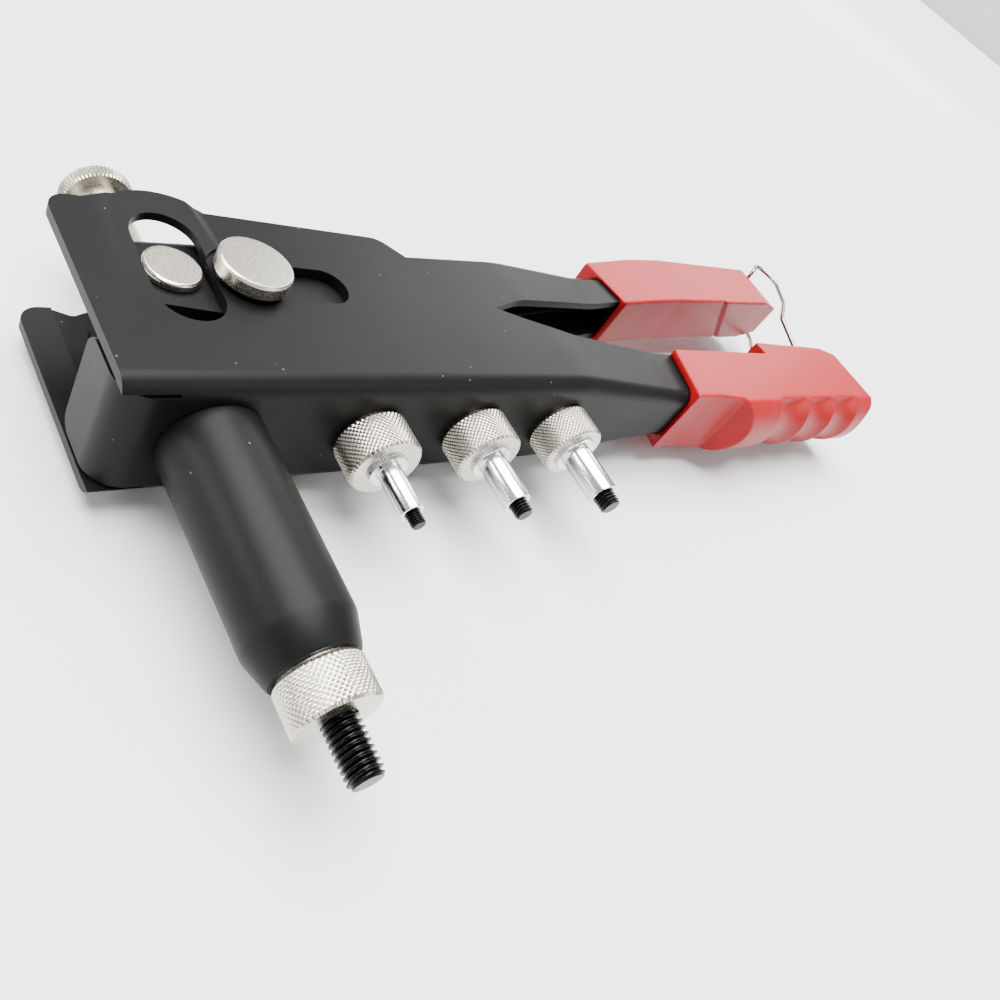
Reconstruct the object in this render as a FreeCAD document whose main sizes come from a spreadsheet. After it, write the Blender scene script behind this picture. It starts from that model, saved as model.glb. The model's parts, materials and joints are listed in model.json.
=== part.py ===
import FreeCAD, Part
import math
import os
import re
import Sketcher
from FreeCAD import Placement, Rotation, Vector

# Hand rivet nut setter with three spare mandrels.
# +X runs along the handles, -Y is the nose, +Y the spin knob, +Z the near side plate.
# The nose is turned about the Y axis and the outer face of the channel's web is Y = 0.
# Millimetres and degrees.

DIMENSIONS = (
    # body channel, folded from one sheet
    ("sheet_thickness", 2.0), ("body_half_width", 13.5), ("body_bend", 3.6),
    ("body_front", 17.0), ("body_depth", 43.3), ("front_corner", 4.0),
    ("lobe_radius", 14.0), ("lobe_height", 2.1), ("lobe_middle", 1.0),
    ("shoulder_x", 50.0), ("shoulder_corner", 5.0),
    ("throat_x", 66.5), ("throat_y", 26.0), ("throat_blend", 40.0),
    ("neck_x", 90.0), ("neck_y", 17.4), ("neck_blend", 60.0),
    ("taper_start", 88.0), ("taper_end", 132.0), ("taper_blend", 60.0),
    ("handle_half_width", 8.2), ("handle_depth", 14.8), ("handle_end", 229.0),
    ("curl_radius", 6.0), ("curl_height", 14.6), ("curl_half_width", 10.6),
    ("curl_run", 9.0), ("curl_corner", 3.0), ("curl_gap", 0.7),
    ("emboss_height", 1.5), ("emboss_left", 7.0), ("emboss_right", 6.6), ("emboss_run", 4.0),
    ("emboss_bottom", 22.0), ("emboss_wall", 1.6), ("emboss_rest", 7.6),
    ("kidney_radius", 6.0), ("kidney_low", 20.4), ("kidney_high", 33.8),
    ("slot_radius", 4.67), ("slot_left", 11.7), ("slot_right", 28.8),
    ("emboss_rest_shift", 0.5), ("blank_depth", 60.0), ("cutter_reach", 20.0), ("overcut", 1.0),
    # pivots
    ("fulcrum_x", 12.8), ("fulcrum_y", 25.8), ("trunnion_y", 28.5),
    ("pin_radius", 4.25), ("pin_head_radius", 6.9), ("pin_head", 3.0), ("pin_bevel", 0.4),
    ("washer_radius", 6.5), ("washer_thickness", 1.05), ("side_play", 0.05),
    ("pin_fit", 0.05), ("clip_thickness", 1.0), ("clip_radius", 6.8), ("clip_groove", 0.8),
    ("clip_mouth", 5.0), ("spacer_radius", 5.2), ("pin_tail", 1.4),
    ("trunnion_radius", 3.4), ("trunnion_head_radius", 5.2), ("trunnion_head", 1.65),
    ("trunnion_root", 5.0), ("trunnion_bevel", 0.4),
    # lever channel
    ("lever_half_width", 11.2), ("lever_handle_half_width", 7.2), ("lever_bend", 3.0),
    ("lever_taper_end", 124.0), ("lever_back_start", 38.2), ("lever_back_rise", 0.085),
    ("lever_web_start", 20.0), ("lever_nose", 7.0), ("lever_nose_low", 21.0),
    ("lever_corner", 3.0), ("lever_heel_x", 18.0), ("lever_heel_y", 17.5),
    ("lever_heel_blend", 20.0), ("lever_belly_x", 62.0), ("lever_belly_y", 21.5),
    ("lever_belly_blend", 30.0), ("lever_neck_x", 86.0), ("lever_neck_y", 30.0),
    ("lever_neck_blend", 30.0), ("lever_mouth_x", 137.0), ("lever_mouth_y", 38.6),
    ("lever_end", 229.0), ("lever_end_depth", 9.0),
    # draw block, spindle and knob
    ("block_half_length", 5.8), ("block_half_height", 6.3), ("block_half_width", 9.0),
    ("spindle_radius", 3.6), ("spindle_front", 14.0), ("thrust_radius", 5.6),
    ("thrust_thickness", 1.2), ("collar_radius", 5.4), ("collar_end", 40.0),
    ("boss_radius", 4.5), ("boss_end", 60.5), ("knob_radius", 6.9), ("knob_end", 63.5),
    ("knob_bevel", 0.5),
    ("knob_recess", 0.6), ("knob_rim", 1.0), ("coupler_radius", 5.0), ("coupler_front", 2.0),
    ("coupler_seat", 4.0),
    # nose
    ("barrel_radius", 9.3), ("barrel_length", 38.0), ("barrel_taper", 5.8),
    ("barrel_tip_radius", 7.7), ("barrel_bore", 6.0), ("barrel_thread_depth", 12.0),
    ("barrel_spigot_radius", 8.0), ("barrel_flare_radius", 9.0), ("barrel_flare", 1.0),
    ("cap_gap", 0.5), ("cap_neck_radius", 6.3), ("cap_radius", 7.3), ("cap_length", 7.9),
    ("cap_bevel", 0.5), ("cap_spigot_radius", 5.0), ("cap_spigot", 9.0), ("cap_bore", 3.05),
    ("mandrel_radius", 3.0), ("mandrel_relief", 2.6), ("mandrel_reach", 9.8),
    ("mandrel_bevel", 0.5), ("mandrel_head_radius", 4.2), ("mandrel_head_end", 13.5),
    # spare mandrels carried on the web
    ("spare_first", 32.1), ("spare_pitch", 27.0), ("spare_radius", 7.6),
    ("spare_length", 8.5), ("spare_neck_radius", 6.6), ("spare_spigot_radius", 5.0),
    ("spare_spigot", 5.5), ("spare_head_radius", 4.2), ("spare_head", 3.0),
    ("thread_fit", 0.03), ("flange_thickness", 0.9), ("tip_bevel", 0.3),
    # grips
    ("body_grip_half_width", 10.6), ("body_grip_mouth", 134.5),
    ("body_grip_mouth_back", 140.0), ("body_grip_back", 16.6), ("body_grip_front", 1.4),
    ("body_grip_palm", 144.0), ("dish_x", 156.5), ("dish_y", 2.8),
    ("body_grip_finger", 162.0), ("body_grip_crown", 9.0),
    ("crown_radius", 13.1), ("cheek_low", 3.6), ("cheek_half_width", 12.0),
    ("body_grip_step", 190.5), ("body_grip_step_lean", 1.0),
    ("body_grip_block", 21.4), ("block_end_x", 234.0), ("block_end_y", 20.6),
    ("body_grip_end", 242.0), ("end_high", 17.5), ("end_low", 6.0), ("toe_x", 238.0),
    ("groove_start", 185.6), ("groove_pitch", 17.9), ("groove_radius", 18.5),
    ("groove_depth", 2.2), ("groove_roof", 2.8),
    ("lever_grip_half_width", 8.4), ("lever_grip_end_back", 236.5),
    ("lever_grip_top", 64.0), ("lever_grip_corner", 4.0),
    ("lever_grip_lip_x", 138.0), ("lever_grip_lip_y", 36.9),
    ("lever_grip_waist_x", 152.0), ("lever_grip_waist_y", 38.9),
    ("lever_grip_palm_x", 170.0), ("lever_grip_palm_y", 41.0),
    ("lever_grip_heel_x", 240.0), ("lever_grip_heel_y", 46.2),
    ("lever_grip_hump_x", 176.0), ("lever_grip_hump_y", 61.0),
    ("lever_grip_rise_x", 158.0), ("lever_grip_rise_y", 58.7),
    ("lever_grip_mouth_x", 133.6), ("lever_grip_mouth_y", 53.6),
    # latch bail
    ("wire_radius", 0.75), ("bail_pivot_x", 224.0), ("bail_pivot_y", 9.0),
    ("bail_foot", 4.9), ("bail_contact_angle", 66.0), ("bail_clearance", 0.3),
    ("bail_half_width", 9.8), ("bail_hole_fit", 0.06), ("bail_slot_floor", 6.5),
    ("bail_rise_x", 228.3), ("bail_rise_y", 24.0), ("bail_rise_spread", 0.7),
    ("bail_waist_x", 232.5), ("bail_waist_y", 38.0), ("bail_waist_z", 8.0),
    ("bail_kink_x", 241.5), ("bail_kink_y", 45.5), ("bail_kink_z", 9.2),
    ("bail_shoulder_x", 249.0), ("bail_shoulder_y", 57.5),
    ("bail_crest_x", 245.8), ("bail_crest_y", 66.6),
    ("bail_slot_inner", 3.9), ("bail_slot_outer", 7.8), ("bail_slot_start", 219.0),
)

# thread radius, sleeve radius, flange radius, sleeve length and thread reach of each spare
SPARES = {
    "m3": (1.5, 2.5, 4.1, 10.8, 2.8),
    "m4": (2.0, 3.0, 4.6, 11.8, 3.0),
    "m5": (2.5, 3.5, 5.1, 12.8, 3.4),
}
SPARE_FIELDS = ("thread", "sleeve", "flange", "sleeve_length", "reach")

doc = FreeCAD.newDocument("hand_riveter")
sheet = doc.addObject("Spreadsheet::Sheet", "dims")
aliases = set()


def fill_sheet():
    rows = list(DIMENSIONS)
    for spare, values in SPARES.items():
        rows += [(f"{spare}_{field}", value) for field, value in zip(SPARE_FIELDS, values)]
    for row, (alias, value) in enumerate(rows, start=1):
        sheet.set(f"A{row}", alias)
        sheet.set(f"B{row}", str(value))
        sheet.setAlias(f"B{row}", alias)
        aliases.add(alias)
    doc.recompute()


def linked(expression):
    """The expression with the sheet's name before each of its aliases."""
    def with_sheet(word):
        return "dims." + word.group() if word.group() in aliases else word.group()
    return re.sub(r"[a-z]\w*", with_sheet, expression)


def size(expression):
    """The number that an expression gives now."""
    return float(sheet.evalExpression(linked(expression)))


# ---------------------------------------------------------------- sketches and bodies

def place_vertex(sketch, line, across, along):
    """Tie the start of a line to the origin by two distances from the sheet."""
    for kind, expression, axis in (("DistanceX", across, -2), ("DistanceY", along, -1)):
        value = size(expression)
        if abs(value) < 1e-9:
            sketch.addConstraint(Sketcher.Constraint("PointOnObject", line, 1, axis))
            continue
        index = sketch.addConstraint(Sketcher.Constraint(kind, -1, 1, line, 1, value))
        sketch.setExpression(f"Constraints[{index}]", linked(expression))


def outline_sketch(body, role, outline):
    """A closed polygon whose corners are pairs of expressions."""
    sketch = body.newObject("Sketcher::SketchObject", body.Name + "_outline")
    plane = next(item for item in body.Origin.OriginFeatures if item.Role == role)
    sketch.AttachmentSupport = [(plane, "")]
    sketch.MapMode = "FlatFace"
    corners = [Vector(size(across), size(along), 0) for across, along in outline]
    count = len(corners)
    for index in range(count):
        sketch.addGeometry(Part.LineSegment(corners[index], corners[(index + 1) % count]))
    for index in range(count):
        following = (index + 1) % count
        sketch.addConstraint(Sketcher.Constraint("Coincident", index, 2, following, 1))
    for index, (across, along) in enumerate(outline):
        place_vertex(sketch, index, across, along)
    return sketch


def turned(name, profile, rotation=None):
    """A body turned about the Y axis from a section of (radius, y) corners."""
    body = doc.addObject("PartDesign::Body", name)
    sketch = outline_sketch(body, "XY_Plane", profile)
    revolution = body.newObject("PartDesign::Revolution", name + "_turned")
    revolution.Profile = sketch
    revolution.ReferenceAxis = (sketch, ["V_Axis"])
    revolution.Angle = 360.0
    body.Placement = Placement(Vector(), rotation or Rotation())
    doc.recompute()
    return body


def padded(name, outline, half_width):
    """A body padded to both sides of the middle plane."""
    body = doc.addObject("PartDesign::Body", name)
    pad = body.newObject("PartDesign::Pad", name + "_pad")
    pad.Profile = outline_sketch(body, "XY_Plane", outline)
    pad.SideType = "Symmetric"
    pad.setExpression("Length", linked(f"2 * ({half_width})"))
    doc.recompute()
    return body


def round_edges(body, radius, chosen):
    """Fillet the edges of a body's last feature that pass the test."""
    tip = body.Tip
    names = [f"Edge{i}" for i, edge in enumerate(tip.Shape.Edges, start=1) if chosen(edge)]
    fillet = body.newObject("PartDesign::Fillet", body.Name + "_round")
    fillet.Base = (tip, names)
    fillet.setExpression("Radius", linked(radius))
    doc.recompute()


def corner_edge(across, along):
    """A test for the edge parallel to Z at one corner of an outline."""
    x, y = size(across), size(along)

    def chosen(edge):
        first, last = edge.Vertexes[0].Point, edge.Vertexes[-1].Point
        upright = abs(first.z - last.z) > 1 and math.hypot(first.x - last.x, first.y - last.y) < 1e-6
        return upright and math.hypot(first.x - x, first.y - y) < 0.01
    return chosen


# ---------------------------------------------------------------- primitives and booleans

Z_TO_X = Rotation(Vector(0, 1, 0), 90)
Z_TO_Y = Rotation(Vector(1, 0, 0), -90)
Y_TO_Z = Rotation(Vector(1, 0, 0), 90)
Y_TO_MINUS_Z = Rotation(Vector(1, 0, 0), -90)


def place(item, x="0", y="0", z="0", rotation=None):
    item.Placement = Placement(Vector(size(x), size(y), size(z)), rotation or item.Placement.Rotation)
    for axis, expression in zip("xyz", (x, y, z)):
        if expression != "0":
            item.setExpression(f"Placement.Base.{axis}", linked(expression))
    return item


def rod(name, radius, length, x="0", y="0", z="0", rotation=None):
    """A cylinder along Z, or along the direction that the rotation gives."""
    cylinder = doc.addObject("Part::Cylinder", name)
    cylinder.setExpression("Radius", linked(radius))
    cylinder.setExpression("Height", linked(length))
    return place(cylinder, x, y, z, rotation)


def box(name, x_range, y_range, z_range):
    """A box between two expressions on each axis."""
    item = doc.addObject("Part::Box", name)
    ranges = (x_range, y_range, z_range)
    for side, (low, high) in zip(("Length", "Width", "Height"), ranges):
        item.setExpression(side, linked(f"({high}) - ({low})"))
    return place(item, *(low for low, high in ranges))


def joined(name, pieces):
    fuse = doc.addObject("Part::MultiFuse", name)
    fuse.Shapes = pieces
    fuse.Refine = True
    return fuse


def shared(name, pieces):
    common = doc.addObject("Part::MultiCommon", name)
    common.Shapes = pieces
    common.Refine = True
    return common


def less(name, base, tools):
    cut = doc.addObject("Part::Cut", name)
    cut.Base = base
    cut.Tool = tools[0] if len(tools) == 1 else joined(name + "_cutters", tools)
    cut.Refine = True
    return cut


THROUGH = ("-20", "40")


def slot(name, radius, first, last):
    """A prism right through both plates, round at two centres in line with X or Y."""
    (x1, y1), (x2, y2) = first, last
    rods = [rod(f"{name}_end_{i}", radius, THROUGH[1], x, y, THROUGH[0])
            for i, (x, y) in enumerate((first, last))]
    across = (f"{x1} - {radius}", f"{x1} + {radius}") if x1 == x2 else (x1, x2)
    along = (f"{y1} - {radius}", f"{y1} + {radius}") if y1 == y2 else (y1, y2)
    return joined(name, rods + [box(name + "_middle", across, along, ("-20", "20"))])


# ---------------------------------------------------------------- folded channels

def channel_plan(name, front, end, taper_end, wide, narrow, depth, bend, rises):
    """A solid block, wide over the head and narrowing to the handle, with round bends.

    It starts at Y = 0 and goes up where rises is true, else down.
    """
    outline = [(front, f"-({wide})"), ("taper_start", f"-({wide})"), (taper_end, f"-({narrow})"),
               (end, f"-({narrow})"), (end, narrow), (taper_end, narrow),
               ("taper_start", wide), (front, wide)]
    body = doc.addObject("PartDesign::Body", name)
    pad = body.newObject("PartDesign::Pad", name + "_pad")
    pad.Profile = outline_sketch(body, "XZ_Plane", outline)
    pad.Reversed = rises
    pad.setExpression("Length", linked(depth))
    doc.recompute()
    turns = (size("taper_start"), size(taper_end))
    ends = (size(front), size(end))

    def at_turn(edge):
        first, last = edge.Vertexes[0].Point, edge.Vertexes[-1].Point
        return abs(first.y - last.y) > 1 and any(abs(first.x - x) < 0.01 for x in turns)

    def along_fold(edge):
        points = [vertex.Point for vertex in edge.Vertexes]
        level = all(abs(point.y) < 0.01 for point in points)
        return level and not any(all(abs(p.x - x) < 0.01 for p in points) for x in ends)

    round_edges(body, "taper_blend", at_turn)
    round_edges(body, bend, along_fold)
    return body


def body_side():
    """The side plates' outline, with the round lobe behind the long opening."""
    outline = [("-body_front", "0"), ("handle_end", "0"), ("handle_end", "handle_depth"),
               ("neck_x", "neck_y"), ("throat_x", "throat_y"), ("shoulder_x", "body_depth"),
               ("-body_front", "body_depth")]
    side = padded("body_side", outline, "20")
    for corner, radius in ((3, "neck_blend"), (4, "throat_blend"), (5, "shoulder_corner"),
                           (6, "front_corner")):
        round_edges(side, radius, corner_edge(*outline[corner]))
    lobe = rod("body_lobe", "lobe_radius", THROUGH[1], "lobe_middle",
               "body_depth + lobe_height - lobe_radius", THROUGH[0])
    return joined("body_silhouette", [side, lobe])


def section(name, role, outline, length):
    """A prism on the plane of the given role, padded by the length, or to both sides of it."""
    body = doc.addObject("PartDesign::Body", name)
    pad = body.newObject("PartDesign::Pad", name + "_pad")
    pad.Profile = outline_sketch(body, role, outline)
    if role == "YZ_Plane":
        pad.SideType = "Symmetric"
    else:
        pad.Reversed = True
    pad.setExpression("Length", linked(length))
    doc.recompute()
    return body


def emboss(name, inset):
    """The raised field round the long opening.

    It ramps up towards the plates' top edge, slopes at its sides and keeps clear of the washer.
    """
    foot = f"body_half_width - ({inset})"
    crest = f"{foot} + emboss_height"
    ramp = "emboss_height / (body_depth + lobe_height - emboss_bottom)"
    high = f"{foot} + {ramp} * (blank_depth - emboss_bottom)"
    left, right = "-emboss_left", "emboss_right"
    sides = section(name + "_sides", "XZ_Plane", [
        (f"{left} - emboss_run", f"-({foot})"), (left, f"-({crest})"), (right, f"-({crest})"),
        (f"{right} + emboss_run", f"-({foot})"), (f"{right} + emboss_run", foot), (right, crest),
        (left, crest), (f"{left} - emboss_run", foot)], "blank_depth")
    wedge = section(name + "_wedge", "YZ_Plane", [
        ("emboss_bottom", f"-({foot})"), ("blank_depth", f"-({high})"), ("blank_depth", high),
        ("emboss_bottom", foot)], "2 * cutter_reach")
    rest = rod(name + "_rest", f"emboss_rest + ({inset})", THROUGH[1],
               "fulcrum_x - emboss_rest_shift", "fulcrum_y", THROUGH[0])
    return less(name, shared(name + "_field", [sides, wedge]), [rest])


def spare_x(index):
    return f"spare_first + {index} * spare_pitch"


def end_curl():
    """The web's front end, curled round into a tab between the side plates."""
    outline = [("-body_front", "0"), ("curl_run - body_front", "0"),
               ("curl_run - body_front", "sheet_thickness"),
               ("sheet_thickness - body_front", "sheet_thickness"),
               ("sheet_thickness - body_front", "curl_height"), ("-body_front", "curl_height")]
    curl = padded("end_curl", outline, "curl_half_width")
    round_edges(curl, "curl_radius", corner_edge(*outline[0]))
    round_edges(curl, "curl_radius - sheet_thickness", corner_edge(*outline[3]))
    top, half = size("curl_height"), size("curl_half_width")

    def tab_corner(edge):
        points = [vertex.Point for vertex in edge.Vertexes]
        one_side = abs(points[0].z - points[-1].z) < 0.01
        return one_side and all(abs(p.y - top) < 0.01 and abs(abs(p.z) - half) < 0.01 for p in points)
    round_edges(curl, "curl_corner", tab_corner)
    return curl


def body_channel():
    silhouette = body_side()
    plan = channel_plan("body_plan", "-body_front - 1", "handle_end + 1", "taper_end",
                        "body_half_width", "handle_half_width", "blank_depth", "body_bend", True)
    solid = shared("body_solid", [silhouette, joined("body_outer", [plan, emboss("emboss_outer", "0")])])
    inner = channel_plan("body_inner", "-body_front - 2", "handle_end + 2", "taper_end",
                         "body_half_width - sheet_thickness", "handle_half_width - sheet_thickness",
                         "blank_depth", "body_bend - sheet_thickness", True)
    place(inner, y="sheet_thickness")
    openings = [
        inner, emboss("emboss_inner", "emboss_wall"),
        slot("kidney", "kidney_radius", ("0", "kidney_low"), ("0", "kidney_high")),
        slot("fulcrum_slot", "slot_radius", ("slot_left", "fulcrum_y"), ("slot_right", "fulcrum_y")),
        box("curl_room", ("-body_front - 1", "curl_run - body_front"), ("-1", "sheet_thickness + 1"),
            ("-curl_half_width - curl_gap", "curl_half_width + curl_gap")),
        rod("nose_hole", "barrel_spigot_radius", "sheet_thickness + 2", y="-1", rotation=Z_TO_Y),
        rod("bail_hole", "wire_radius + bail_hole_fit", THROUGH[1], "bail_pivot_x",
            "bail_pivot_y", THROUGH[0]),
    ]
    for index in range(len(SPARES)):
        openings.append(rod(f"spare_hole_{index}", "spare_spigot_radius + pin_fit",
                            "sheet_thickness + 2", spare_x(index), "-1", rotation=Z_TO_Y))
    folded = less("body_folded", solid, openings)
    return joined("body_channel", [folded, end_curl()]), solid


def lever_back(x):
    return f"(lever_back_start + lever_back_rise * ({x}))"


def lever_channel():
    end_back = lever_back("lever_end")
    outline = [("-lever_nose", "lever_nose_low"), ("lever_heel_x", "lever_heel_y"),
               ("lever_belly_x", "lever_belly_y"), ("lever_neck_x", "lever_neck_y"),
               ("lever_mouth_x", "lever_mouth_y"), ("lever_end", end_back + " - lever_end_depth"),
               ("lever_end", end_back), ("-lever_nose", lever_back("-lever_nose"))]
    side = padded("lever_side", outline, "lever_half_width + 2")
    for corner, radius in ((0, "lever_corner"), (7, "lever_corner"), (1, "lever_heel_blend"),
                           (2, "lever_belly_blend"), (3, "lever_neck_blend")):
        round_edges(side, radius, corner_edge(*outline[corner]))
    lean = Rotation(Vector(0, 0, 1), math.degrees(math.atan(size("lever_back_rise"))))
    plan = channel_plan("lever_plan", "-lever_nose - 5", "lever_end + 5", "lever_taper_end",
                        "lever_half_width", "lever_handle_half_width", "blank_depth", "lever_bend", False)
    place(plan, y="lever_back_start", rotation=lean)
    inner = channel_plan("lever_inner", "-lever_nose - 8", "lever_end + 8", "lever_taper_end",
                         "lever_half_width - sheet_thickness",
                         "lever_handle_half_width - sheet_thickness",
                         "blank_depth", "lever_bend - sheet_thickness", False)
    place(inner, y="lever_back_start - sheet_thickness", rotation=lean)
    solid = shared("lever_solid", [side, plan])
    ear_gap = "lever_half_width - sheet_thickness"
    openings = [
        inner,
        box("ear_gap", ("-cutter_reach", "lever_web_start"), ("0", "blank_depth"),
            (f"-({ear_gap})", ear_gap)),
        rod("trunnion_hole", "trunnion_radius + pin_fit", THROUGH[1], "0", "trunnion_y", THROUGH[0]),
        rod("fulcrum_hole", "pin_radius + pin_fit", THROUGH[1], "fulcrum_x", "fulcrum_y", THROUGH[0]),
    ]
    return less("lever_channel", solid, openings), solid


# ---------------------------------------------------------------- pivots

PLATE_FACE = "(body_half_width + side_play)"
HEAD_SEAT = "(body_half_width + side_play + washer_thickness)"


def fulcrum_pin():
    groove = f"{HEAD_SEAT} + clip_thickness"
    profile = [
        ("0", f"-({groove} + pin_tail)"), ("pin_radius - pin_bevel", f"-({groove} + pin_tail)"),
        ("pin_radius", f"-({groove} + pin_tail - pin_bevel)"), ("pin_radius", f"-({groove})"),
        ("pin_radius - clip_groove", f"-({groove})"), ("pin_radius - clip_groove", f"-{HEAD_SEAT}"),
        ("pin_radius", f"-{HEAD_SEAT}"), ("pin_radius", HEAD_SEAT), ("pin_head_radius", HEAD_SEAT),
        ("pin_head_radius", f"{HEAD_SEAT} + pin_head - pin_bevel"),
        ("pin_head_radius - pin_bevel", f"{HEAD_SEAT} + pin_head"), ("0", f"{HEAD_SEAT} + pin_head"),
    ]
    return place(turned("fulcrum_pin", profile, Y_TO_Z), "fulcrum_x", "fulcrum_y")


def ring(name, inner, outer, low, high, rotation):
    profile = [(inner, low), (outer, low), (outer, high), (inner, high)]
    return place(turned(name, profile, rotation), "fulcrum_x", "fulcrum_y")


def fulcrum_rings():
    bore = "pin_radius + pin_fit"
    near = ring("fulcrum_washer_near", bore, "washer_radius", PLATE_FACE, HEAD_SEAT, Y_TO_Z)
    far = ring("fulcrum_washer_far", bore, "washer_radius", PLATE_FACE, HEAD_SEAT, Y_TO_MINUS_Z)
    ear_inner = "lever_half_width - sheet_thickness - side_play"
    spacer = ring("fulcrum_spacer", bore, "spacer_radius", f"-({ear_inner})", ear_inner, Y_TO_Z)
    disc = ring("clip_disc", "pin_radius - clip_groove", "clip_radius", HEAD_SEAT,
                f"{HEAD_SEAT} + clip_thickness", Y_TO_MINUS_Z)
    mouth = box("clip_mouth_cut", ("fulcrum_x", "fulcrum_x + cutter_reach"),
                ("fulcrum_y - clip_mouth / 2", "fulcrum_y + clip_mouth / 2"),
                (f"-({HEAD_SEAT} + clip_thickness + overcut)", f"-{HEAD_SEAT} + side_play"))
    return [near, far, spacer, less("fulcrum_clip", disc, [mouth])]


def trunnion(name, rotation):
    seat = "lever_half_width + side_play"
    profile = [
        ("0", "trunnion_root"), ("trunnion_radius", "trunnion_root"), ("trunnion_radius", seat),
        ("trunnion_head_radius", seat),
        ("trunnion_head_radius", f"{seat} + trunnion_head - trunnion_bevel"),
        ("trunnion_head_radius - trunnion_bevel", f"{seat} + trunnion_head"),
        ("0", f"{seat} + trunnion_head"),
    ]
    return place(turned(name, profile, rotation), y="trunnion_y")


# ---------------------------------------------------------------- draw block and nose

BLOCK_TOP = "trunnion_y + block_half_height"
BLOCK_FOOT = "trunnion_y - block_half_height"


def draw_block():
    solid = box("block_solid", ("-block_half_length", "block_half_length"), (BLOCK_FOOT, BLOCK_TOP),
                ("-block_half_width", "block_half_width"))
    bore = rod("block_bore", "spindle_radius + pin_fit", "2 * (block_half_height + overcut)",
               y=BLOCK_FOOT + " - overcut", rotation=Z_TO_Y)
    sockets = [
        rod("socket_near", "trunnion_radius", "10", "0", "trunnion_y", "trunnion_root"),
        rod("socket_far", "trunnion_radius", "10", "0", "trunnion_y", "-trunnion_root - 10"),
    ]
    return less("draw_block", solid, [bore] + sockets)


def thrust_washer():
    return turned("thrust_washer", [
        ("spindle_radius + pin_fit", BLOCK_TOP), ("thrust_radius", BLOCK_TOP),
        ("thrust_radius", BLOCK_TOP + " + thrust_thickness"),
        ("spindle_radius + pin_fit", BLOCK_TOP + " + thrust_thickness")])


def spin_knob():
    collar = BLOCK_TOP + " + thrust_thickness + side_play"
    return turned("spin_knob", [
        ("0", "spindle_front"), ("spindle_radius", "spindle_front"), ("spindle_radius", collar),
        ("collar_radius", collar), ("collar_radius", "collar_end"), ("boss_radius", "collar_end"),
        ("boss_radius", "boss_end"), ("knob_radius - knob_bevel", "boss_end"),
        ("knob_radius", "boss_end + knob_bevel"), ("knob_radius", "knob_end - knob_bevel"),
        ("knob_radius - knob_bevel", "knob_end"), ("knob_radius - knob_rim", "knob_end"),
        ("knob_radius - knob_rim - knob_bevel", "knob_end - knob_recess"),
        ("0", "knob_end - knob_recess")])


def mandrel_coupler():
    rear = BLOCK_FOOT + " - 2 * side_play"
    return turned("mandrel_coupler", [
        ("mandrel_relief", "coupler_front"), ("coupler_radius", "coupler_front"),
        ("coupler_radius", rear), ("spindle_radius", rear), ("spindle_radius", "spindle_front"),
        ("mandrel_head_radius", "spindle_front"), ("mandrel_head_radius", "coupler_seat"),
        ("mandrel_relief", "coupler_seat")])


CAP_REAR = "(-barrel_length - barrel_taper - cap_gap)"
CAP_FRONT = "(-barrel_length - barrel_taper - cap_gap - cap_length)"


def mandrel():
    tip = f"{CAP_FRONT} - mandrel_reach"
    return turned("mandrel_m6", [
        ("0", tip), ("mandrel_radius - mandrel_bevel", tip), ("mandrel_radius", f"{tip} + mandrel_bevel"),
        ("mandrel_radius", CAP_FRONT), ("mandrel_relief", CAP_FRONT), ("mandrel_relief", "coupler_seat"),
        ("mandrel_head_radius", "coupler_seat"), ("mandrel_head_radius", "mandrel_head_end"),
        ("0", "mandrel_head_end")])


def nose_barrel():
    tip = "-barrel_length - barrel_taper"
    thread_bore = "cap_spigot_radius + pin_fit"
    return turned("nose_barrel", [
        (thread_bore, tip), ("barrel_tip_radius", tip), ("barrel_radius", "-barrel_length"),
        ("barrel_radius", "0"), ("barrel_spigot_radius", "0"),
        ("barrel_spigot_radius", "sheet_thickness"), ("barrel_flare_radius", "sheet_thickness"),
        ("barrel_flare_radius", "sheet_thickness + barrel_flare"),
        ("barrel_bore", "sheet_thickness + barrel_flare"),
        ("barrel_bore", f"{tip} + barrel_thread_depth"), (thread_bore, f"{tip} + barrel_thread_depth")])


def nose_cap():
    neck = f"{CAP_REAR} + cap_gap - side_play"
    return turned("nose_cap", [
        ("cap_bore", CAP_FRONT), ("cap_radius - cap_bevel", CAP_FRONT),
        ("cap_radius", f"{CAP_FRONT} + cap_bevel"), ("cap_radius", f"{CAP_REAR} - cap_bevel"),
        ("cap_radius - cap_bevel", CAP_REAR), ("cap_neck_radius", CAP_REAR), ("cap_neck_radius", neck),
        ("cap_spigot_radius", neck), ("cap_spigot_radius", f"{CAP_REAR} + cap_spigot"),
        ("cap_bore", f"{CAP_REAR} + cap_spigot")])


# ---------------------------------------------------------------- spare mandrels

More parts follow.
